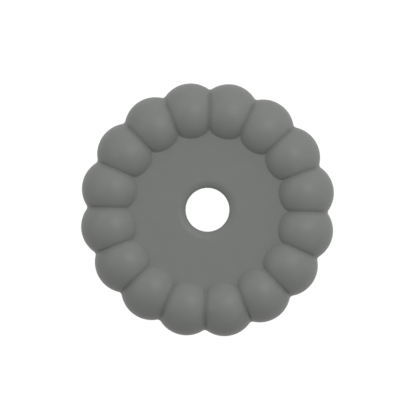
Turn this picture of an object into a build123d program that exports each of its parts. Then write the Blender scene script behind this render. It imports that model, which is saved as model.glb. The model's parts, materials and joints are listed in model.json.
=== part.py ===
"""Lobed rubber washer: a soft moulded body with a stiff load ring inside its web.

Frame: +Z is the bore axis, the flat underside lies in z = 0, and one lobe is centred on +X.
All sizes are in millimetres.
"""

import os
from math import atan2, cos, degrees, radians, sqrt

from build123d import *

# Soft body.
OVERALL_DIAMETER = 50.0  # across two opposite lobes
HEIGHT = 10.0  # underside to the crests of the lobes
LOBE_COUNT = 16
LOBE_DIAMETER = 12.0  # width of one dome-topped lobe
RECESS_DEPTH = 2.5  # crests down to the flat top of the web
BORE_DIAMETER = 8.6

# Rounded edges of the soft body.
CREASE_ROUND = 0.55  # in the valley between two lobes
RECESS_ROUND = 0.45  # where the lobes rise from the web
LIP_REACH = 1.55  # from the bore out to where its shallow lip meets the web
LIP_ROUND = 2.45  # radius of that lip's curve
LIP_EDGE_ROUND = 0.2  # between the lip and the wall of the bore
BORE_FOOT_ROUND = 0.5  # mouth of the bore on the underside
BASE_ROUND = 1.2  # outer edge of the underside

# Load ring, moulded into the web.
RING_THICKNESS = 1.5
RING_RIM_WIDTH = 7.0  # from the ring's own hole to its outer edge
BORE_COVER = 1.7  # rubber between the bore and the ring

# Holes that the mould's locating pins leave under the ring.
PIN_HOLE_DIAMETER = 1.6
PIN_HOLE_COUNT = 4

# How close an edge must be to where it is looked for.
SAME_ANGLE = 0.01  # degrees
SAME_LENGTH = 0.001

# What follows from the sizes above.
half_step = 180 / LOBE_COUNT  # angle from a lobe's centre to its crease
lobe_radius = LOBE_DIAMETER / 2
pitch_radius = OVERALL_DIAMETER / 2 - lobe_radius  # circle through the lobes' centres
dome_base = HEIGHT - lobe_radius  # where a lobe's straight wall turns into its dome
web_top = HEIGHT - RECESS_DEPTH
web_radius = pitch_radius * cos(radians(half_step))  # reaches the middle of every crease
bore_radius = BORE_DIAMETER / 2
lip_radius = bore_radius + LIP_REACH  # where the lip meets the web
lip_foot = web_top - LIP_ROUND + sqrt(LIP_ROUND**2 - LIP_REACH**2)  # where it meets the bore
ring_inner_radius = bore_radius + BORE_COVER
ring_outer_radius = ring_inner_radius + RING_RIM_WIDTH
ring_floor = (web_top - RING_THICKNESS) / 2  # the ring lies midway up the web
pin_circle_radius = (ring_inner_radius + ring_outer_radius) / 2


def lies_in_crease(edge):
    """True for an edge on the plane midway between two neighbouring lobes."""
    middle = edge.position_at(0.5)
    turned = degrees(atan2(middle.Y, middle.X)) % (2 * half_step)
    return abs(turned - half_step) < SAME_ANGLE


def bounds_bore(edge):
    """True for an edge of the bore."""
    return edge.geom_type == GeomType.CIRCLE and abs(edge.radius - bore_radius) < SAME_LENGTH


# Soft body: a ring of domed lobes round a flat web with a bore through its middle.
with BuildPart() as lobed_body:
    with BuildSketch() as plan:
        Circle(web_radius)
        with PolarLocations(pitch_radius, LOBE_COUNT):
            Circle(lobe_radius)
    extrude(amount=dome_base)
    with Locations((0, 0, dome_base)):
        with PolarLocations(pitch_radius, LOBE_COUNT):
            Sphere(lobe_radius, arc_size1=0, align=(Align.CENTER, Align.CENTER, Align.MIN))
    Cylinder(web_radius, web_top, align=(Align.CENTER, Align.CENTER, Align.MIN))
    fillet(lobed_body.edges().filter_by(lies_in_crease), CREASE_ROUND)
    fillet(lobed_body.edges().filter_by_position(Axis.Z, web_top, web_top), RECESS_ROUND)
    fillet(lobed_body.edges().filter_by_position(Axis.Z, 0, 0), BASE_ROUND)

    # Bore, with a shallow lip at the web and a small round at the underside.
    Hole(bore_radius)
    with BuildSketch(Plane.XZ) as lip_space:
        with BuildLine():
            RadiusArc((bore_radius, lip_foot), (lip_radius, web_top), LIP_ROUND)
            Polyline((lip_radius, web_top), (0, web_top), (0, lip_foot), (bore_radius, lip_foot))
        make_face()
    revolve(axis=Axis.Z, mode=Mode.SUBTRACT)
    fillet(lobed_body.edges().filter_by(bounds_bore).sort_by(Axis.Z)[-1], LIP_EDGE_ROUND)
    fillet(lobed_body.edges().filter_by(bounds_bore).sort_by(Axis.Z)[0], BORE_FOOT_ROUND)

    # Pocket that the load ring fills, and the pin holes that lead up to it.
    with BuildSketch(Plane.XY.offset(ring_floor)) as ring_pocket:
        Circle(ring_outer_radius)
        Circle(ring_inner_radius, mode=Mode.SUBTRACT)
    extrude(amount=RING_THICKNESS, mode=Mode.SUBTRACT)
    with BuildSketch() as pin_holes:
        with PolarLocations(pin_circle_radius, PIN_HOLE_COUNT, start_angle=half_step):
            Circle(PIN_HOLE_DIAMETER / 2)
    extrude(amount=ring_floor, mode=Mode.SUBTRACT)

# Load ring: a flat ring that spreads the fastener's pull across the web.
with BuildPart() as load_ring:
    with BuildSketch(Plane.XY.offset(ring_floor)) as ring_face:
        Circle(ring_outer_radius)
        Circle(ring_inner_radius, mode=Mode.SUBTRACT)
    extrude(amount=RING_THICKNESS)

lobed_body.part.label = "lobed_body"
load_ring.part.label = "load_ring"

os.makedirs("parts", exist_ok=True)
export_step(lobed_body.part, "parts/lobed_body.step")
export_step(load_ring.part, "parts/load_ring.step")
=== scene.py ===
"""Lobed rubber washer: the finished surface of its moulded body, its finishes and a plain studio.

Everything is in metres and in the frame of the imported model: +Z is the bore axis, the flat
underside lies in z = 0, and one lobe is centred on +X.
"""

import json
import logging
from dataclasses import dataclass
from enum import Enum
from math import asin, atan2, cos, hypot, pi, radians, sin, sqrt, tan

import bmesh
import bpy
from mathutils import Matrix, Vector


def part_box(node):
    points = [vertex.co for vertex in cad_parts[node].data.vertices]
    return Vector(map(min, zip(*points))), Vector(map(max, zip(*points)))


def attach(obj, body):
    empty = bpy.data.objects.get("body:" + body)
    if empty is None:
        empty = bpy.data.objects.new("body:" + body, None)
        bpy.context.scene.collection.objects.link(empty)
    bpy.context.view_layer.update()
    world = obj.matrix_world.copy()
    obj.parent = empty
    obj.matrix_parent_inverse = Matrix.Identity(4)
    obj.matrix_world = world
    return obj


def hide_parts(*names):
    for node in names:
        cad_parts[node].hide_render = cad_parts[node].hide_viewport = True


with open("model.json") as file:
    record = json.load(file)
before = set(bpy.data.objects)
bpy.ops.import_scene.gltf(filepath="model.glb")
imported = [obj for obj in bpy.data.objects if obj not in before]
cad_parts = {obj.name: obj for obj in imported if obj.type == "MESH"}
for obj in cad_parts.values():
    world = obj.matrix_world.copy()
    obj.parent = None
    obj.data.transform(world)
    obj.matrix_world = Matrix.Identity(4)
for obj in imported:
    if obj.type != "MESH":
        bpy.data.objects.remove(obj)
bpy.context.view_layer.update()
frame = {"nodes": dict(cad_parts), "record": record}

log = logging.getLogger("washer")

MM = 0.001
BORE_COVER = 1.7 * MM  # rubber between the bore and the load ring's hole
SHARP_ANGLE = 40.0  # degrees between two faces from which their shared edge shows as sharp
SAME_HEIGHT = 0.001 * MM  # how close to a flat face's height counts as on it
NOISE_LOW = 0.3  # most of a noise's values lie between these two
NOISE_HIGH = 0.7
NOISE_FALLOFF = 0.55  # the strength of each finer layer of noise against the one before

Profile = list[tuple[float, float]]  # distance from the bore axis and height, point by point
Colour = tuple[float, float, float]


def spread(start: float, end: float, steps: int) -> list[float]:
    """That many evenly spaced values, from start up to, and without, end."""
    return [start + (end - start) * i / steps for i in range(steps)]


def smooth(share: float) -> float:
    """Eases a share in and out, and holds it at 0 before 0 and at 1 after 1."""
    held = min(1.0, max(0.0, share))
    return held * held * (3 - 2 * held)


class Skin(Enum):
    """The two closed skins of the moulded body."""

    OUTSIDE = "outside"
    POCKET = "pocket"


class Kind(Enum):
    """The shader nodes that the finishes are made of."""

    PRINCIPLED = "ShaderNodeBsdfPrincipled"
    OUTPUT = "ShaderNodeOutputMaterial"
    POSITION = "ShaderNodeTexCoord"
    NOISE = "ShaderNodeTexNoise"
    RANGE = "ShaderNodeMapRange"
    RAMP = "ShaderNodeValToRGB"
    BUMP = "ShaderNodeBump"
    GLOW = "ShaderNodeEmission"
    MATT = "ShaderNodeBsdfDiffuse"
    CLEAR = "ShaderNodeBsdfTransparent"
    ADD = "ShaderNodeAddShader"
    CHOOSE = "ShaderNodeMixShader"
    GEOMETRY = "ShaderNodeNewGeometry"
    SPLIT = "ShaderNodeSeparateXYZ"
    VECTOR = "ShaderNodeVectorMath"
    MATHS = "ShaderNodeMath"


class Recipe:
    """A material and the short calls that add nodes to it and join them."""

    def __init__(self, name: str) -> None:
        """Starts an empty material.

        Args:
            name: The material's name.
        """
        self.material = bpy.data.materials.new(name)
        self.material.use_nodes = True
        self.tree = self.material.node_tree
        self.tree.nodes.clear()
        self.output = self.add(Kind.OUTPUT)

    def add(self, kind: Kind, **values: float | tuple) -> bpy.types.Node:
        """Adds a node.

        Args:
            kind: Which node.
            **values: Socket values, named as the sockets are, with _ for a space.

        Returns:
            The new node.
        """
        node = self.tree.nodes.new(kind.value)
        for name, value in values.items():
            node.inputs[name.replace("_", " ")].default_value = value
        return node

    def join(self, source: bpy.types.NodeSocket, target: bpy.types.NodeSocket) -> None:
        """Joins an output to an input."""
        self.tree.links.new(source, target)

    def noise(self, grain: float, detail: float) -> bpy.types.NodeSocket:
        """Adds even noise that is fixed to the piece.

        Args:
            grain: The size of one speck, in metres.
            detail: How many finer layers lie on it.

        Returns:
            The noise's value, from 0 to 1.
        """
        place = self.add(Kind.POSITION)
        node = self.add(Kind.NOISE, Scale=1 / grain, Detail=detail, Roughness=NOISE_FALLOFF)
        self.join(place.outputs["Object"], node.inputs["Vector"])
        return node.outputs["Fac"]

    def between(self, value: bpy.types.NodeSocket, low: float, high: float) -> bpy.types.NodeSocket:
        """Maps the middle of a noise's range to the range from low to high.

        Args:
            value: The noise.
            low: The result where the noise is weak.
            high: The result where it is strong.

        Returns:
            The mapped value.
        """
        node = self.add(
            Kind.RANGE, From_Min=NOISE_LOW, From_Max=NOISE_HIGH, To_Min=low, To_Max=high
        )
        self.join(value, node.inputs["Value"])
        return node.outputs["Result"]

    def stretch(self, share: bpy.types.NodeSocket, low: float, high: float) -> bpy.types.NodeSocket:
        """Maps a share to a range.

        Args:
            share: The share, from 0 to 1.
            low: The result for 0.
            high: The result for 1.

        Returns:
            The mapped value.
        """
        node = self.add(Kind.RANGE, To_Min=low, To_Max=high)
        self.join(share, node.inputs["Value"])
        return node.outputs["Result"]

    def tint(self, value: bpy.types.NodeSocket, dark: Colour, light: Colour) -> bpy.types.NodeSocket:
        """Mixes two colours by a value.

        Args:
            value: The value that chooses, with its middle range spread out.
            dark: The colour at the low end.
            light: The colour at the high end.

        Returns:
            The colour.
        """
        node = self.add(Kind.RAMP)
        places = (NOISE_LOW, NOISE_HIGH)
        for stop, place, colour in zip(node.color_ramp.elements, places, (dark, light)):
            stop.position = place
            stop.color = (*colour, 1.0)
        self.join(value, node.inputs["Fac"])
        return node.outputs["Color"]

    def rise(self, value: bpy.types.NodeSocket, start: float, end: float) -> bpy.types.NodeSocket:
        """Eases from 0 to 1 while a value goes from start to end.

        Args:
            value: The value.
            start: Where the result leaves 0.
            end: Where it gets to 1.

        Returns:
            The eased share.
        """
        node = self.add(Kind.RANGE, From_Min=start, From_Max=end)
        node.interpolation_type = "SMOOTHSTEP"
        self.join(value, node.inputs["Value"])
        return node.outputs["Result"]

    def height(self) -> bpy.types.NodeSocket:
        """Reads how high each point of the piece lies.

        Returns:
            The height over the underside.
        """
        place = self.add(Kind.POSITION)
        node = self.add(Kind.SPLIT)
        self.join(place.outputs["Object"], node.inputs["Vector"])
        return node.outputs["Z"]

    def reach(self) -> bpy.types.NodeSocket:
        """Reads how far each point of the piece lies from the bore axis.

        Returns:
            The distance.
        """
        place = self.add(Kind.POSITION)
        flat = self.add(Kind.VECTOR)
        flat.operation = "MULTIPLY"
        flat.inputs[1].default_value = (1.0, 1.0, 0.0)
        self.join(place.outputs["Object"], flat.inputs[0])
        node = self.add(Kind.VECTOR)
        node.operation = "LENGTH"
        self.join(flat.outputs["Vector"], node.inputs[0])
        return node.outputs["Value"]

    def either(self, one: bpy.types.NodeSocket, other: bpy.types.NodeSocket) -> bpy.types.NodeSocket:
        """Takes the larger of two values.

        Args:
            one: The first value.
            other: The second value.

        Returns:
            The larger one.
        """
        node = self.add(Kind.MATHS)
        node.operation = "MAXIMUM"
        self.join(one, node.inputs[0])
        self.join(other, node.inputs[1])
        return node.outputs["Value"]

    def shade(self, colour: bpy.types.NodeSocket, value: bpy.types.NodeSocket) -> bpy.types.NodeSocket:
        """Dims a colour.

        Args:
            colour: The colour.
            value: How much of it is kept.

        Returns:
            The dimmed colour.
        """
        node = self.add(Kind.VECTOR)
        node.operation = "SCALE"
        self.join(colour, node.inputs[0])
        self.join(value, node.inputs["Scale"])
        return node.outputs["Vector"]

    def relief(self, heights: list[tuple[bpy.types.NodeSocket, float]]) -> bpy.types.NodeSocket:
        """Stacks bumps on one another.

        Args:
            heights: For each bump its noise and its depth in metres.

        Returns:
            The bumped normal.
        """
        normal = None
        for value, depth in heights:
            node = self.add(Kind.BUMP, Strength=1.0, Distance=depth)
            self.join(value, node.inputs["Height"])
            if normal is not None:
                self.join(normal, node.inputs["Normal"])
            normal = node.outputs["Normal"]
        return normal


@dataclass(frozen=True)
class SiliconeRubber:
    """Matt grey silicone rubber, as it comes from a finely blasted mould, with shade painted into its
    recess: the web and the upper end of the bore.

    Attributes:
        painted_shade_top: The height of the web's flat top, which is also the top of the painted shade
            on the web and in the bore.
        colour: Its mean colour on the lobes.
        painted_shade_tone: How much of the colour is left where shade is painted: on the web and in the
            upper end of the bore.
        painted_shade_drop: How far the painted shade goes down into the bore.
        painted_shade_reach: How far from the bore axis it goes.
        painted_shade_fade: The distance over which it ends.
        mottle: How far the colour strays from the mean, as a share.
        roughness: The middle of its roughness.
        roughness_spread: How far the roughness strays from that.
        gloss: The strength of its mirror reflection.
        refraction: Its index of refraction.
        grain: The size of the mould's blasted grain.
        grain_layers: How many finer layers lie on it.
        grain_depth: The depth of that grain.
        ripple: The size of the slow unevenness of the skin.
        ripple_layers: How many finer layers lie on it.
        ripple_depth: The depth of that unevenness.
    """

    painted_shade_top: float
    colour: Colour = (0.149, 0.1543, 0.1464)
    painted_shade_tone: float = 0.93
    painted_shade_drop: float = 1.2 * MM
    painted_shade_reach: float = 17.0 * MM
    painted_shade_fade: float = 0.5 * MM
    mottle: float = 0.015
    roughness: float = 0.45
    roughness_spread: float = 0.05
    gloss: float = 0.2
    refraction: float = 1.41
    grain: float = 0.22 * MM
    grain_layers: float = 2.0
    grain_depth: float = 0.006 * MM
    ripple: float = 2.6 * MM
    ripple_layers: float = 4.0
    ripple_depth: float = 0.004 * MM

    def material(self) -> bpy.types.Material:
        """Makes the material.

        Returns:
            The material.
        """
        recipe = Recipe("silicone_rubber")
        skin = recipe.add(Kind.PRINCIPLED, Specular_IOR_Level=self.gloss, IOR=self.refraction)
        mottle = recipe.noise(self.ripple, self.ripple_layers)
        grain = recipe.noise(self.grain, self.grain_layers)
        dark = tuple(c * (1 - self.mottle) for c in self.colour)
        light = tuple(c * (1 + self.mottle) for c in self.colour)
        # The colour is dimmed by painted shade on the web and in the upper end of the bore.
        colour = recipe.shade(recipe.tint(mottle, dark, light), self._painted_shade(recipe))
        recipe.join(colour, skin.inputs["Base Color"])
        smoothest = self.roughness - self.roughness_spread
        roughest = self.roughness + self.roughness_spread
        recipe.join(recipe.between(grain, smoothest, roughest), skin.inputs["Roughness"])
        normal = recipe.relief([(mottle, self.ripple_depth), (grain, self.grain_depth)])
        recipe.join(normal, skin.inputs["Normal"])
        recipe.join(skin.outputs["BSDF"], recipe.output.inputs["Surface"])
        return recipe.material

    def _painted_shade(self, recipe: Recipe) -> bpy.types.NodeSocket:
        """Paints shade into the recess: the web and the upper end of the bore are made darker than the
        rest.

        Args:
            recipe: The material that it is added to.

        Returns:
            How much of the colour is kept at each point, less where shade is painted.
        """
        bottom = self.painted_shade_top - self.painted_shade_drop
        above = recipe.rise(recipe.height(), self.painted_shade_top, self.painted_shade_top + self.painted_shade_fade)
        below = recipe.rise(recipe.height(), bottom, bottom - self.painted_shade_fade)
        rim = self.painted_shade_reach + self.painted_shade_fade
        beyond = recipe.rise(recipe.reach(), self.painted_shade_reach, rim)
        outside = recipe.either(recipe.either(above, below), beyond)
        return recipe.stretch(outside, self.painted_shade_tone, 1.0)


@dataclass(frozen=True)
class ZincPlate:
    """Blanked steel with a thin dull zinc coat.

    Attributes:
        dark: The coat's darker patches.
        light: Its lighter patches.
        roughness: The middle of its roughness.
        roughness_spread: How far the roughness strays from that.
        spangle: The size of one patch.
        spangle_layers: How many finer layers lie on the patches.
        scratches_per_spangle: How many of the fine scratches fit across one patch.
        scratch_layers: How many finer layers lie on the scratches.
        scratch_depth: The depth of the scratches.
    """

    dark: Colour = (0.46, 0.47, 0.48)
    light: Colour = (0.66, 0.67, 0.68)
    roughness: float = 0.38
    roughness_spread: float = 0.1
    spangle: float = 0.5 * MM
    spangle_layers: float = 3.0
    scratches_per_spangle: float = 6.0
    scratch_layers: float = 2.0
    scratch_depth: float = 0.004 * MM

    def material(self) -> bpy.types.Material:
        """Makes the material.

        Returns:
            The material.
        """
        recipe = Recipe("zinc_plate")
        metal = recipe.add(Kind.PRINCIPLED, Metallic=1.0)
        spangle = recipe.noise(self.spangle, self.spangle_layers)
        scratches = recipe.noise(self.spangle / self.scratches_per_spangle, self.scratch_layers)
        recipe.join(recipe.tint(spangle, self.dark, self.light), metal.inputs["Base Color"])
        smoothest = self.roughness - self.roughness_spread
        roughest = self.roughness + self.roughness_spread
        recipe.join(recipe.between(scratches, smoothest, roughest), metal.inputs["Roughness"])
        recipe.join(recipe.relief([(scratches, self.scratch_depth)]), metal.inputs["Normal"])
        recipe.join(metal.outputs["BSDF"], recipe.output.inputs["Surface"])
        return recipe.material


@dataclass(frozen=True)
class LightTable:
    """White glowing floor sheet, clear when it is looked at from below.

    Attributes:
        glow: The light that it gives off by itself.
        white: How much of the light that falls on it comes back.
    """

    glow: float = 1.0
    white: float = 0.04

    def material(self) -> bpy.types.Material:
        """Makes the material.

        Returns:
            The material.
        """
        recipe = Recipe("light_table")
        glow = recipe.add(Kind.GLOW, Strength=self.glow)
        matt = recipe.add(Kind.MATT, Color=(self.white, self.white, self.white, 1.0))
        both = recipe.add(Kind.ADD)
        recipe.join(glow.outputs["Emission"], both.inputs[0])
        recipe.join(matt.outputs["BSDF"], both.inputs[1])
        side = recipe.add(Kind.GEOMETRY)
        clear = recipe.add(Kind.CLEAR)
        sheet = recipe.add(Kind.CHOOSE)
        recipe.join(side.outputs["Backfacing"], sheet.inputs["Fac"])
        recipe.join(both.outputs["Shader"], sheet.inputs[1])
        recipe.join(clear.outputs["BSDF"], sheet.inputs[2])
        recipe.join(sheet.outputs["Shader"], recipe.output.inputs["Surface"])
        # Rays that happen to hit the sheet are enough to find so wide a glow, and find it evenly.
        recipe.material.cycles.emission_sampling = "NONE"
        return recipe.material


@dataclass(frozen=True)
class LobeRing:
    """Equal domed lobes side by side on one circle round the bore axis.

    Each lobe is an upright round post with a half ball on top. Where two neighbours meet, the
    crease between them is rounded, most of all down the outer wall. A narrow nip follows the bottom
    of the crease from the web up and over the crests.

    Attributes:
        pitch_radius: The radius of the circle through the lobes' centres.
        dome_base: The height at which the posts turn into half balls.
        count: How many lobes there are.
        radius: The radius of one post and its half ball.
        crest_round: The radius of the rounding in the creases over the crests.
        toe_round: The radius of that rounding at the foot of the creases, on the web.
        toe_share: How much of the way from that foot to the crest it takes to give way to the crest's.
        wall_round: The radius of the rounding down the outer wall.
        wall_start: How far down the outer side the crease stays as it is over the crests, as a share.
        nip_depth: How deep the nip is.
        nip_width: Half the width of the nip.
    """

    pitch_radius: float
    dome_base: float
    count: int = 16
    radius: float = 6.0 * MM
    crest_round: float = 0.2 * MM
    toe_round: float = 0.3 * MM
    toe_share: float = 0.12
    wall_round: float = 0.7 * MM
    wall_start: float = 0.3
    nip_depth: float = 0.14 * MM
    nip_width: float = 0.75 * MM

    @property
    def half_step(self) -> float:
        """The angle about the bore axis from a lobe's centre to its crease."""
        return pi / self.count

    def eased(self, turn: float, reach: float, radius: float, rounding: float) -> float:
        """Bends the angle from a lobe's centre so that the crease comes out round.

        Args:
            turn: The angle about the bore axis from the nearest lobe's centre.
            reach: The distance from the bore axis.
            radius: The radius of the lobe at this place.
            rounding: The radius of the rounding.

        Returns:
            The angle at which an unrounded lobe is met, which never quite reaches the crease.
        """
        lean = asin(self.pitch_radius * sin(self.half_step) / radius)
        across = reach * sin(self.half_step - abs(turn))
        if across >= rounding * sin(lean):
            return abs(turn)
        lift = rounding / cos(lean) - sqrt(rounding**2 - across**2)
        return self.half_step - asin(lift / tan(lean) / reach)

    def outer_reach(self, turn: float, radius: float) -> float:
        """The outline's distance from the bore axis where the lobes have that radius."""
        rough = self._cut(turn, radius, 1)
        return self._cut(self.eased(turn, rough, radius, self.wall_round), radius, 1)

    def inner_reach(self, turn: float, radius: float) -> float:
        """The distance from the bore axis at which a circle round a lobe's centre is met first.

        Args:
            turn: The angle from the nearest lobe's centre.
            radius: The circle's radius.

        Returns:
            The distance, with the crease rounded and nipped.
        """
        rough = self._cut(turn, radius, -1)
        bent = self.eased(turn, rough, radius, self.toe_round)
        return self._cut(bent, radius, -1) + self._nip(turn, rough)

    def dome_point(self, turn: float, slope: float, climb: float) -> tuple[float, float]:
        """A point on the domes.

        Args:
            turn: The angle from the nearest lobe's centre.
            slope: The angle at which the point is seen from the middle of the dome's base, from 0 on
                the side of the bore to pi on the outside.
            climb: How much of the way from the dome's foot on the web to its crest is done, up to 1.

        Returns:
            The point's distance from the bore axis and its height.
        """
        past_crest = 1 - sin(slope) if climb >= 1 else 0.0
        wall = smooth((past_crest - self.wall_start) / (1 - self.wall_start))
        foot = 1 - smooth(climb / self.toe_share)
        crest = 1 - wall - foot
        rounding = self.crest_round * crest + self.wall_round * wall + self.toe_round * foot
        rough = self.pitch_radius * cos(turn) - cos(slope) * self._arch(turn)
        bent = self.eased(turn, rough, self.radius, rounding)
        arch = self._arch(bent) - self._nip(turn, rough) * (1 - wall)
        return self.pitch_radius * cos(bent) - cos(slope) * arch, self.dome_base + sin(slope) * arch

    def crest_rise(self, turn: float) -> float:
        """The height of the domes' crest over their base at that angle."""
        return self.dome_point(turn, pi / 2, 1.0)[1] - self.dome_base

    def _nip(self, turn: float, reach: float) -> float:
        """The nip's depth at an angle from a lobe's centre and a distance from the bore axis."""
        across = reach * sin(self.half_step - abs(turn))
        return self.nip_depth * max(0.0, 1 - across / self.nip_width) ** 2

    def _arch(self, turn: float) -> float:
        """The radius of the circle in which an upright plane through the bore axis cuts a dome."""
        return sqrt(self.radius**2 - (self.pitch_radius * sin(turn)) ** 2)

    def _cut(self, turn: float, radius: float, side: int) -> float:
        """Where a ray from the bore axis cuts a circle round a lobe's centre: side 1 is its far cut."""
        half_chord = sqrt(radius**2 - (self.pitch_radius * sin(turn)) ** 2)
        return self.pitch_radius * cos(turn) + side * half_chord


@dataclass(frozen=True)
class PinHoles:
    """Round holes from the underside up to the load ring, left by the mould's locating pins.

    Attributes:
        circle_radius: The radius of the circle that they lie on.
        first: The angle of the first one about the bore axis.
        count: How many there are.
        radius: The radius of one hole.
        mouth_round: The rounding of its mouth.
        margin: How far round a hole the flat faces are rebuilt to meet it.
        band_share: Half the width of the band of fine rows, as a share of the rebuilt width.
    """

    circle_radius: float
    first: float
    count: int = 4
    radius: float = 0.8 * MM
    mouth_round: float = 0.1 * MM
    margin: float = 0.5 * MM
    band_share: float = 1.15

    @property
    def window(self) -> float:
        """Half the width of the window that is opened in a flat face for one hole."""
        return self.radius + self.margin

    def centres(self) -> list[tuple[float, float]]:
        """The x and y of each hole's centre."""
        angles = [self.first + 2 * pi * i / self.count for i in range(self.count)]
        return [(self.circle_radius * cos(a), self.circle_radius * sin(a)) for a in angles]

    def band(self, steps: int) -> list[float]:
        """Spaces the fine rows that cover the windows.

        Args:
            steps: How many rows to give.

        Returns:
            The distances from the bore axis, from outside to inside, with both ends.
        """
        half = self.band_share * self.window
        outer = self.circle_radius + half
        inner = self.circle_radius - half
        return [*spread(outer, inner, steps), inner]


@dataclass(frozen=True)
class Rows:
    """How many rows of faces each stretch of the moulding gets.

    Attributes:
        bore: The bore's wall.
        lip_edge: The edge between the bore's wall and its lip.
        lip: The shallow lip.
        web: The web's flat top.
        blend: The rise from the web to the domes.
        dome: The domes.
        wall: The outer wall under the parting line.
        base_edge: The rounding of the underside's outer edge.
        underside: The flat underside from there to the pin holes.
        pin_band: The band that the pin holes are cut into, on the underside and in the pocket.
        pins_to_bore: The flat underside from the pin holes to the bore.
        foot: The bore's rounded foot.
        pocket_floor: The pocket's floor from the pin holes inwards.
        pocket_roof: The pocket's roof.
        pin_mouth: The rounded mouth of a pin hole.
        pin_wall: The wall of a pin hole.
    """

    bore: int = 5
    lip_edge: int = 5
    lip: int = 10
    web: int = 14
    blend: int = 7
    dome: int = 36
    wall: int = 6
    base_edge: int = 9
    underside: int = 8
    pin_band: int = 18
    pins_to_bore: int = 4
    foot: int = 7
    pocket_floor: int = 2
    pocket_roof: int = 3
    pin_mouth: int = 4
    pin_wall: int = 6


@dataclass
class LobedBody:
    """The soft moulding: lobes, web and bore in one skin, and the pocket for the load ring.

    Attributes:
        lobes: The ring of lobes.
        pins: The pin holes.
        web_top: The height of the web's flat top.
        bore_radius: The radius of the bore.
        ring_low: The load ring's box: its outer radius and its floor.
        ring_high: The load ring's own hole and its top.
        lip_round: The radius of the shallow round that leads from the web into the bore.
        lip_reach: How far that round reaches out from the bore.
        lip_edge: The rounding of the edge between it and the bore's wall.
        foot_round: The rounding of the bore's mouth at the underside.
        base_round: The rounding of the underside's outer edge.
        blend_round: The rounding where the lobes rise from the web.
        parting_height: How far the mould's parting line stands proud.
        parting_width: Half the width of that line.
        parting_rows: Where its rows of faces lie over its middle, in half widths.
        rows: How many rows of faces its stretches get.
        columns_per_half_lobe: How many columns of faces lie between a crease and a lobe's centre.
        crowding: How much the columns crowd towards the creases: 1 is evenly spaced.
    """

    lobes: LobeRing
    pins: PinHoles
    web_top: float
    bore_radius: float
    ring_low: tuple[float, float]
    ring_high: tuple[float, float]
    lip_round: float = 2.45 * MM
    lip_reach: float = 1.55 * MM
    lip_edge: float = 0.2 * MM
    foot_round: float = 0.5 * MM
    base_round: float = 1.2 * MM
    blend_round: float = 0.2 * MM
    parting_height: float = 0.03 * MM
    parting_width: float = 0.09 * MM
    parting_rows: tuple[float, ...] = (2.0, 1.35, 1.0, 0.75, 0.5, 0.25, 0.0)
    rows: Rows = Rows()
    columns_per_half_lobe: int = 18
    crowding: float = 1.7

    def outside(self, turn: float) -> Profile:
        """The section of the outside skin by a half plane from the bore axis.

        Args:
            turn: The half plane's angle from the nearest lobe's centre.

        Returns:
            The closed section, from the foot of the bore up, outwards, down and back in.
        """
        return [
            *self._bore(),
            *self._web(turn),
            *self._dome(turn),
            *self._wall(turn),
            *self._underside(turn),
        ]

    def pocket(self, _turn: float) -> Profile:
        """The section of the pocket that the load ring fills.

        Args:
            _turn: Not used, because the pocket is the same at every angle.

        Returns:
            The closed section, along the floor inwards and back along the roof.
        """
        outer, floor = self.ring_low
        inner, roof = self.ring_high
        *band, past = self.pins.band(self.rows.pin_band)
        bottom = [outer, *band, *spread(past, inner, self.rows.pocket_floor), inner]
        top = [*spread(outer, inner, self.rows.pocket_roof), inner]
        return [*((r, floor) for r in bottom), *((r, roof) for r in reversed(top))]

    def build(self) -> bpy.types.Object:
        """Makes the moulding's mesh and puts it into the scene.

        Returns:
            The new object.
        """
        shape = bmesh.new()
        outside = self._sweep(shape, Skin.OUTSIDE)
        pocket = self._sweep(shape, Skin.POCKET)
        for centre in self.pins.centres():
            self._open_pin_hole(shape, centre, outside, pocket)
        bmesh.ops.recalc_face_normals(shape, faces=shape.faces[:])
        mesh = bpy.data.meshes.new("moulded_body")
        shape.to_mesh(mesh)
        shape.free()
        mesh.shade_smooth()
        mesh.set_sharp_from_angle(angle=radians(SHARP_ANGLE))
        body = bpy.data.objects.new("moulded_body", mesh)
        bpy.context.scene.collection.objects.link(body)
        return body

    def dress(self, body: bpy.types.Object, finish: SiliconeRubber) -> None:
        """Gives the moulding its finish and its place in the frame.

        Args:
            body: The moulding.
            finish: What it is made of.
        """
        body.data.materials.append(finish.material())
        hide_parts("lobed_body")
        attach(body, "root")

    def _bore(self) -> Profile:
        """The bore's wall, from its rounded foot up, and the shallow lip that leads to the web.

        Returns:
            The points of that stretch.
        """
        lip_end = self.bore_radius + self.lip_reach
        lip_centre = self.web_top - self.lip_round
        # The edge's round touches the wall and, from inside, the lip's round.
        edge_centre = self.bore_radius + self.lip_edge
        steepest = asin((lip_end - edge_centre) / (self.lip_round - self.lip_edge))
        edge_height = lip_centre + (self.lip_round - self.lip_edge) * cos(steepest)
        wall = [(self.bore_radius, z) for z in spread(self.foot_round, edge_height, self.rows.bore)]
        edge = [
            (edge_centre - self.lip_edge * cos(a), edge_height + self.lip_edge * sin(a))
            for a in spread(0, pi / 2 - steepest, self.rows.lip_edge)
        ]
        lip = [
            (lip_end - self.lip_round * sin(a), lip_centre + self.lip_round * cos(a))
            for a in spread(steepest, 0, self.rows.lip)
        ]
        return wall + edge + lip

    def _web(self, turn: float) -> Profile:
        """The web's flat top and the blend that rises from it to the domes.

        Args:
            turn: The angle from the nearest lobe's centre.

        Returns:
            The points of that stretch.
        """
        ball = self.lobes.radius + self.blend_round
        rise = self.web_top + self.blend_round - self.lobes.dome_base
        foot = sqrt(ball**2 - rise**2)  # from a lobe's axis to the foot of its blend
        start = self.bore_radius + self.lip_reach
        flat = spread(start, self.lobes.inner_reach(turn, foot), self.rows.web)
        blend = [
            (
                self.lobes.inner_reach(turn, foot - self.blend_round * sin(a)),
                self.web_top + self.blend_round * (1 - cos(a)),
            )
            for a in spread(0, asin(foot / ball), self.rows.blend)
        ]
        return [(r, self.web_top) for r in flat] + blend

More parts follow.
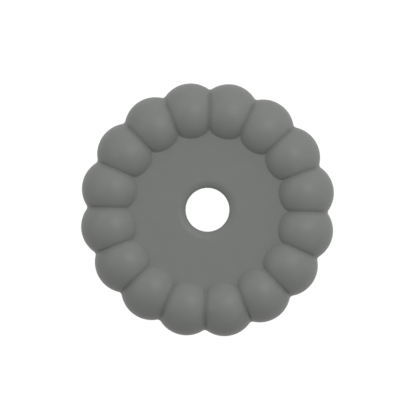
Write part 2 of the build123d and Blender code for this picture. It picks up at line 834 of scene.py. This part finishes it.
    def _dome(self, turn: float) -> Profile:
        """The domes, from the top of the blend over the crest to the top of the parting line.

        Args:
            turn: The angle from the nearest lobe's centre.

        Returns:
            The points of that stretch.
        """
        ball = self.lobes.radius + self.blend_round
        rise = (self.web_top + self.blend_round - self.lobes.dome_base) * self.lobes.radius / ball
        crest = self.lobes.crest_rise(turn)
        start = asin(rise / crest)
        end = asin(self.parting_rows[0] * self.parting_width / crest)
        points = []
        for a in spread(start, pi - end, self.rows.dome):
            climb = min(1.0, (a - start) / (pi / 2 - start))
            points.append(self.lobes.dome_point(turn, a, climb))
        return points

    def _wall(self, turn: float) -> Profile:
        """The outer wall with the parting line, and the rounding down to the underside.

        Args:
            turn: The angle from the nearest lobe's centre.

        Returns:
            The points of that stretch.
        """
        reach = self.lobes.outer_reach(turn, self.lobes.radius)
        points = []
        for share in [*self.parting_rows, *(-share for share in self.parting_rows[-2::-1])]:
            rise = share * self.parting_width
            proud = self.parting_height * cos(pi / 2 * share) ** 2 if abs(share) < 1 else 0.0
            points.append((reach + proud, self.lobes.dome_base + rise))
        below = self.lobes.dome_base - self.parting_rows[0] * self.parting_width
        points += [(reach, z) for z in spread(below, self.base_round, self.rows.wall)[1:]]
        for a in spread(0, pi / 2, self.rows.base_edge):
            radius = self.lobes.radius - self.base_round * (1 - cos(a))
            points.append((self.lobes.outer_reach(turn, radius), self.base_round * (1 - sin(a))))
        return points

    def _underside(self, turn: float) -> Profile:
        """The flat underside and the rounded foot of the bore.

        Args:
            turn: The angle from the nearest lobe's centre.

        Returns:
            The points of that stretch.
        """
        rim = self.lobes.outer_reach(turn, self.lobes.radius - self.base_round)
        *band, past = self.pins.band(self.rows.pin_band)
        foot = self.bore_radius + self.foot_round
        flat = [
            *spread(rim, band[0], self.rows.underside),
            *band,
            *spread(past, foot, self.rows.pins_to_bore),
        ]
        mouth = [
            (foot - self.foot_round * sin(a), self.foot_round * (1 - cos(a)))
            for a in spread(0, pi / 2, self.rows.foot)
        ]
        return [(r, 0.0) for r in flat] + mouth

    def _columns(self) -> list[tuple[float, float]]:
        """Places the columns of the sweep.

        Returns:
            For each column its azimuth and its angle from the nearest lobe's centre.
        """
        steps = self.columns_per_half_lobe
        half = self.lobes.half_step
        side = [half * (1 - (i / steps) ** self.crowding) for i in range(steps)]
        turns = [-t for t in side] + [0.0] + side[:0:-1]
        return [(2 * half * lobe + t, t) for lobe in range(self.lobes.count) for t in turns]

    def _sweep(self, shape: bmesh.types.BMesh, skin: Skin) -> list[bmesh.types.BMFace]:
        """Sweeps a section round the bore axis into a closed skin.

        Args:
            shape: The mesh that it is added to.
            skin: Which skin to make.

        Returns:
            The skin's faces.
        """
        section = {Skin.OUTSIDE: self.outside, Skin.POCKET: self.pocket}[skin]
        grid = []
        for azimuth, turn in self._columns():
            along = (cos(azimuth), sin(azimuth))
            points = section(turn)
            grid.append([shape.verts.new((r * along[0], r * along[1], z)) for r, z in points])
        faces = []
        for left, right in zip(grid, grid[1:] + grid[:1]):
            for i in range(len(left)):
                faces.append(shape.faces.new((left[i - 1], right[i - 1], right[i], left[i])))
        return faces

    def _open_pin_hole(
        self,
        shape: bmesh.types.BMesh,
        centre: tuple[float, float],
        outside: list[bmesh.types.BMFace],
        pocket: list[bmesh.types.BMFace],
    ) -> None:
        """Opens one pin hole from the underside to the pocket.

        Args:
            shape: The mesh.
            centre: The hole's centre.
            outside: The faces of the outside skin.
            pocket: The faces of the pocket's skin.
        """
        floor = self.ring_low[1]
        below = self._open_window(shape, centre, outside, 0.0)
        above = self._open_window(shape, centre, pocket, floor)
        mouth = self.pins.mouth_round
        rings = [below]
        for a in spread(0, pi / 2, self.rows.pin_mouth):
            out, height = mouth * (1 - sin(a)), mouth * (1 - cos(a))
            rings.append(self._ring(shape, centre, below, out, height))
        heights = spread(mouth, floor, self.rows.pin_wall)
        rings += [self._ring(shape, centre, below, 0.0, height) for height in heights]
        rings += [self._ring(shape, centre, below, 0.0, floor), above]
        for low, high in zip(rings, rings[1:]):
            for i in range(len(low)):
                shape.faces.new((low[i - 1], low[i], high[i], high[i - 1]))

    def _open_window(
        self,
        shape: bmesh.types.BMesh,
        centre: tuple[float, float],
        faces: list[bmesh.types.BMFace],
        height: float,
    ) -> list[bmesh.types.BMVert]:
        """Takes away the flat faces round a hole's centre.

        Args:
            shape: The mesh.
            centre: The hole's centre.
            faces: The faces to look through. Those taken away leave this list.
            height: The height of the flat face.

        Returns:
            The window's rim, in order round the centre.
        """
        azimuth = atan2(centre[1], centre[0])
        mid = hypot(*centre)
        gone = []
        for face in faces:
            c = face.calc_center_median()
            if abs(c.z - height) > SAME_HEIGHT:
                continue
            along = abs((atan2(c.y, c.x) - azimuth + pi) % (2 * pi) - pi) * mid
            if along < self.pins.window and abs(hypot(c.x, c.y) - mid) < self.pins.window:
                gone.append(face)
        inside = set(gone)
        faces[:] = [face for face in faces if face not in inside]
        border = {e for f in gone for e in f.edges if any(g not in inside for g in e.link_faces)}
        rim = {v for e in border for v in e.verts}
        bmesh.ops.delete(shape, geom=gone, context="FACES")
        return sorted(rim, key=lambda v: atan2(v.co.y - centre[1], v.co.x - centre[0]))

    def _ring(
        self,
        shape: bmesh.types.BMesh,
        centre: tuple[float, float],
        rim: list[bmesh.types.BMVert],
        out: float,
        height: float,
    ) -> list[bmesh.types.BMVert]:
        """Makes one ring of a pin hole's wall, with a point for each point of the window's rim.

        Args:
            shape: The mesh.
            centre: The hole's centre.
            rim: The window's rim.
            out: How much wider than the hole the ring is.
            height: The ring's height.

        Returns:
            The ring's points.
        """
        radius = self.pins.radius + out
        ring = []
        for point in rim:
            a = atan2(point.co.y - centre[1], point.co.x - centre[0])
            place = (centre[0] + radius * cos(a), centre[1] + radius * sin(a), height)
            ring.append(shape.verts.new(place))
        return ring


@dataclass
class LoadRing:
    """The stiff ring inside the web. Its shape is right as it comes, so it only gets its finish.

    Attributes:
        node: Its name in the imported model.
    """

    node: str = "load_ring"

    def dress(self, finish: ZincPlate) -> bpy.types.Object:
        """Gives the ring its finish.

        Args:
            finish: What it is made of.

        Returns:
            The ring's object.
        """
        ring = frame["nodes"][self.node]
        ring.data.materials.clear()
        ring.data.materials.append(finish.material())
        return ring


@dataclass(frozen=True)
class SoftBox:
    """One kind of round soft lamp, or several alike, all aimed at the washer.

    Attributes:
        name: What it is called.
        tilt: Its angle from the bore axis, in degrees.
        azimuths: The direction of each lamp about the bore axis, in degrees.
        power: The power of each lamp in watts.
    """

    name: str
    tilt: float
    azimuths: tuple[float, ...]
    power: float

    def hang(self, diameter: float, distance: float) -> list[bpy.types.Object]:
        """Hangs the lamps.

        Args:
            diameter: The diameter of each lamp.
            distance: How far they stand from the washer.

        Returns:
            The lamps.
        """
        lamps = []
        for azimuth in self.azimuths:
            data = bpy.data.lights.new(self.name, "AREA")
            data.shape = "DISK"
            data.size = diameter
            data.energy = self.power
            lamp = bpy.data.objects.new(self.name, data)
            level = Vector((cos(radians(azimuth)), sin(radians(azimuth)), 0.0))
            towards = level * sin(radians(self.tilt)) + Vector((0.0, 0.0, cos(radians(self.tilt))))
            lamp.location = towards * distance
            lamp.rotation_mode = "QUATERNION"
            lamp.rotation_quaternion = towards.to_track_quat("Z", "Y")
            lamp.visible_camera = False
            bpy.context.scene.collection.objects.link(lamp)
            lamps.append(lamp)
        return lamps


@dataclass
class Studio:
    """A glowing white sheet under the washer, a little daylight all round, and soft lamps.

    Attributes:
        sheet_size: The width of the sheet.
        sheet_drop: How far it lies under the washer, so that the two faces don't coincide.
        daylight: The strength of the even light from all round.
        lamp_size: The diameter of each lamp.
        lamp_distance: How far the lamps stand from the washer.
        lamps: The lamps: a high key lamp, and weaker ones that fill from the sides and from low down.
    """

    sheet_size: float = 8.0
    sheet_drop: float = 0.02 * MM
    daylight: float = 0.28
    lamp_size: float = 0.5
    lamp_distance: float = 1.0
    lamps: tuple[SoftBox, ...] = (
        SoftBox("key", 25.0, (35.0,), 5.9),
        SoftBox("left_fill", 50.0, (125.0, 170.0), 2.1),
        SoftBox("right_fill", 50.0, (305.0,), 1.4),
        SoftBox("low_fill", 75.0, (350.0, 35.0, 80.0), 1.35),
    )

    def lay_sheet(self, finish: LightTable) -> bpy.types.Object:
        """Lays the sheet that the washer rests on.

        Args:
            finish: What the sheet is made of.

        Returns:
            The sheet.
        """
        half = self.sheet_size / 2
        mesh = bpy.data.meshes.new("sheet")
        corners = [(-half, -half, 0.0), (half, -half, 0.0), (half, half, 0.0), (-half, half, 0.0)]
        mesh.from_pydata(corners, [], [(0, 1, 2, 3)])
        mesh.materials.append(finish.material())
        sheet = bpy.data.objects.new("sheet", mesh)
        sheet.location.z = -self.sheet_drop
        bpy.context.scene.collection.objects.link(sheet)
        return sheet

    def light(self) -> list[bpy.types.Object]:
        """Sets the daylight and hangs the lamps.

        Returns:
            The lamps.
        """
        world = bpy.data.worlds.new("daylight")
        world.use_nodes = True
        sky = world.node_tree.nodes["Background"]
        sky.inputs["Color"].default_value = (1.0, 1.0, 1.0, 1.0)
        sky.inputs["Strength"].default_value = self.daylight
        bpy.context.scene.world = world
        return [lamp for box in self.lamps for lamp in box.hang(self.lamp_size, self.lamp_distance)]


@dataclass
class Camera:
    """A long lens straight above the washer.

    Attributes:
        lens: The focal length, in the millimetres that Blender wants.
        view_width: The width of what it sees at the washer.
        focus_height: The height at which it sees that width.
        roll: How far it is turned about the bore axis.
        right: How far it stands to the right of the bore axis, as it sees it.
        up: How far it stands above the bore axis, as it sees it.
        nearest: The nearest thing that it sees, as a share of its distance.
        farthest: The farthest thing that it sees, as a share of its distance.
    """

    lens: float = 200.0
    view_width: float = 81.41 * MM
    focus_height: float = 4.0 * MM
    roll: float = radians(-10.03)
    right: float = 0.098 * MM
    up: float = 0.35 * MM
    nearest: float = 0.01
    farthest: float = 100.0

    def place(self) -> bpy.types.Object:
        """Puts the camera into the scene.

        Returns:
            The camera.
        """
        data = bpy.data.cameras.new("camera")
        data.lens = self.lens
        camera = bpy.data.objects.new("camera", data)
        distance = self.view_width * self.lens / data.sensor_width
        x_way = Vector((cos(self.roll), sin(self.roll), 0.0))
        y_way = Vector((-sin(self.roll), cos(self.roll), 0.0))
        camera.location = x_way * self.right + y_way * self.up
        camera.location.z = self.focus_height + distance
        camera.rotation_euler = (0.0, 0.0, self.roll)
        data.clip_start = distance * self.nearest
        data.clip_end = distance * self.farthest
        bpy.context.scene.collection.objects.link(camera)
        bpy.context.scene.camera = camera
        return camera


def measured_body() -> LobedBody:
    """Reads the moulding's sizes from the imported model.

    Returns:
        The moulding, not built yet.
    """
    mounts = {mount["name"]: mount for mount in frame["record"]["mounts"]}
    _, body_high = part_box("lobed_body")
    ring_low, ring_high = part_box("load_ring")
    bore_radius = mounts["bore"]["dims"]["r_mm"] * MM
    lobes = LobeRing(
        pitch_radius=body_high[0] - LobeRing.radius,
        dome_base=body_high[2] - LobeRing.radius,
    )
    ring_hole = bore_radius + BORE_COVER
    pins = PinHoles(circle_radius=(ring_hole + ring_high[0]) / 2, first=lobes.half_step)
    return LobedBody(
        lobes=lobes,
        pins=pins,
        web_top=mounts["recess_floor"]["pos_m"][2],
        bore_radius=bore_radius,
        ring_low=(ring_high[0], ring_low[2]),
        ring_high=(ring_hole, ring_high[2]),
    )


def main() -> None:
    """Builds the washer, the studio and the camera, in that order."""
    logging.basicConfig(level=logging.INFO, format="%(name)s: %(message)s")
    moulding = measured_body()
    body = moulding.build()
    moulding.dress(body, SiliconeRubber(painted_shade_top=moulding.web_top))
    log.info("%s: %d faces", body.name, len(body.data.polygons))
    ring = LoadRing().dress(ZincPlate())
    log.info("%s: %d faces", ring.name, len(ring.data.polygons))
    studio = Studio()
    sheet = studio.lay_sheet(LightTable())
    lamps = studio.light()
    camera = Camera().place()
    log.info("studio: %s, %d lamps and %s", sheet.name, len(lamps), camera.name)
    bpy.context.scene.view_settings.view_transform = "Standard"


if __name__ == "__main__":
    main()
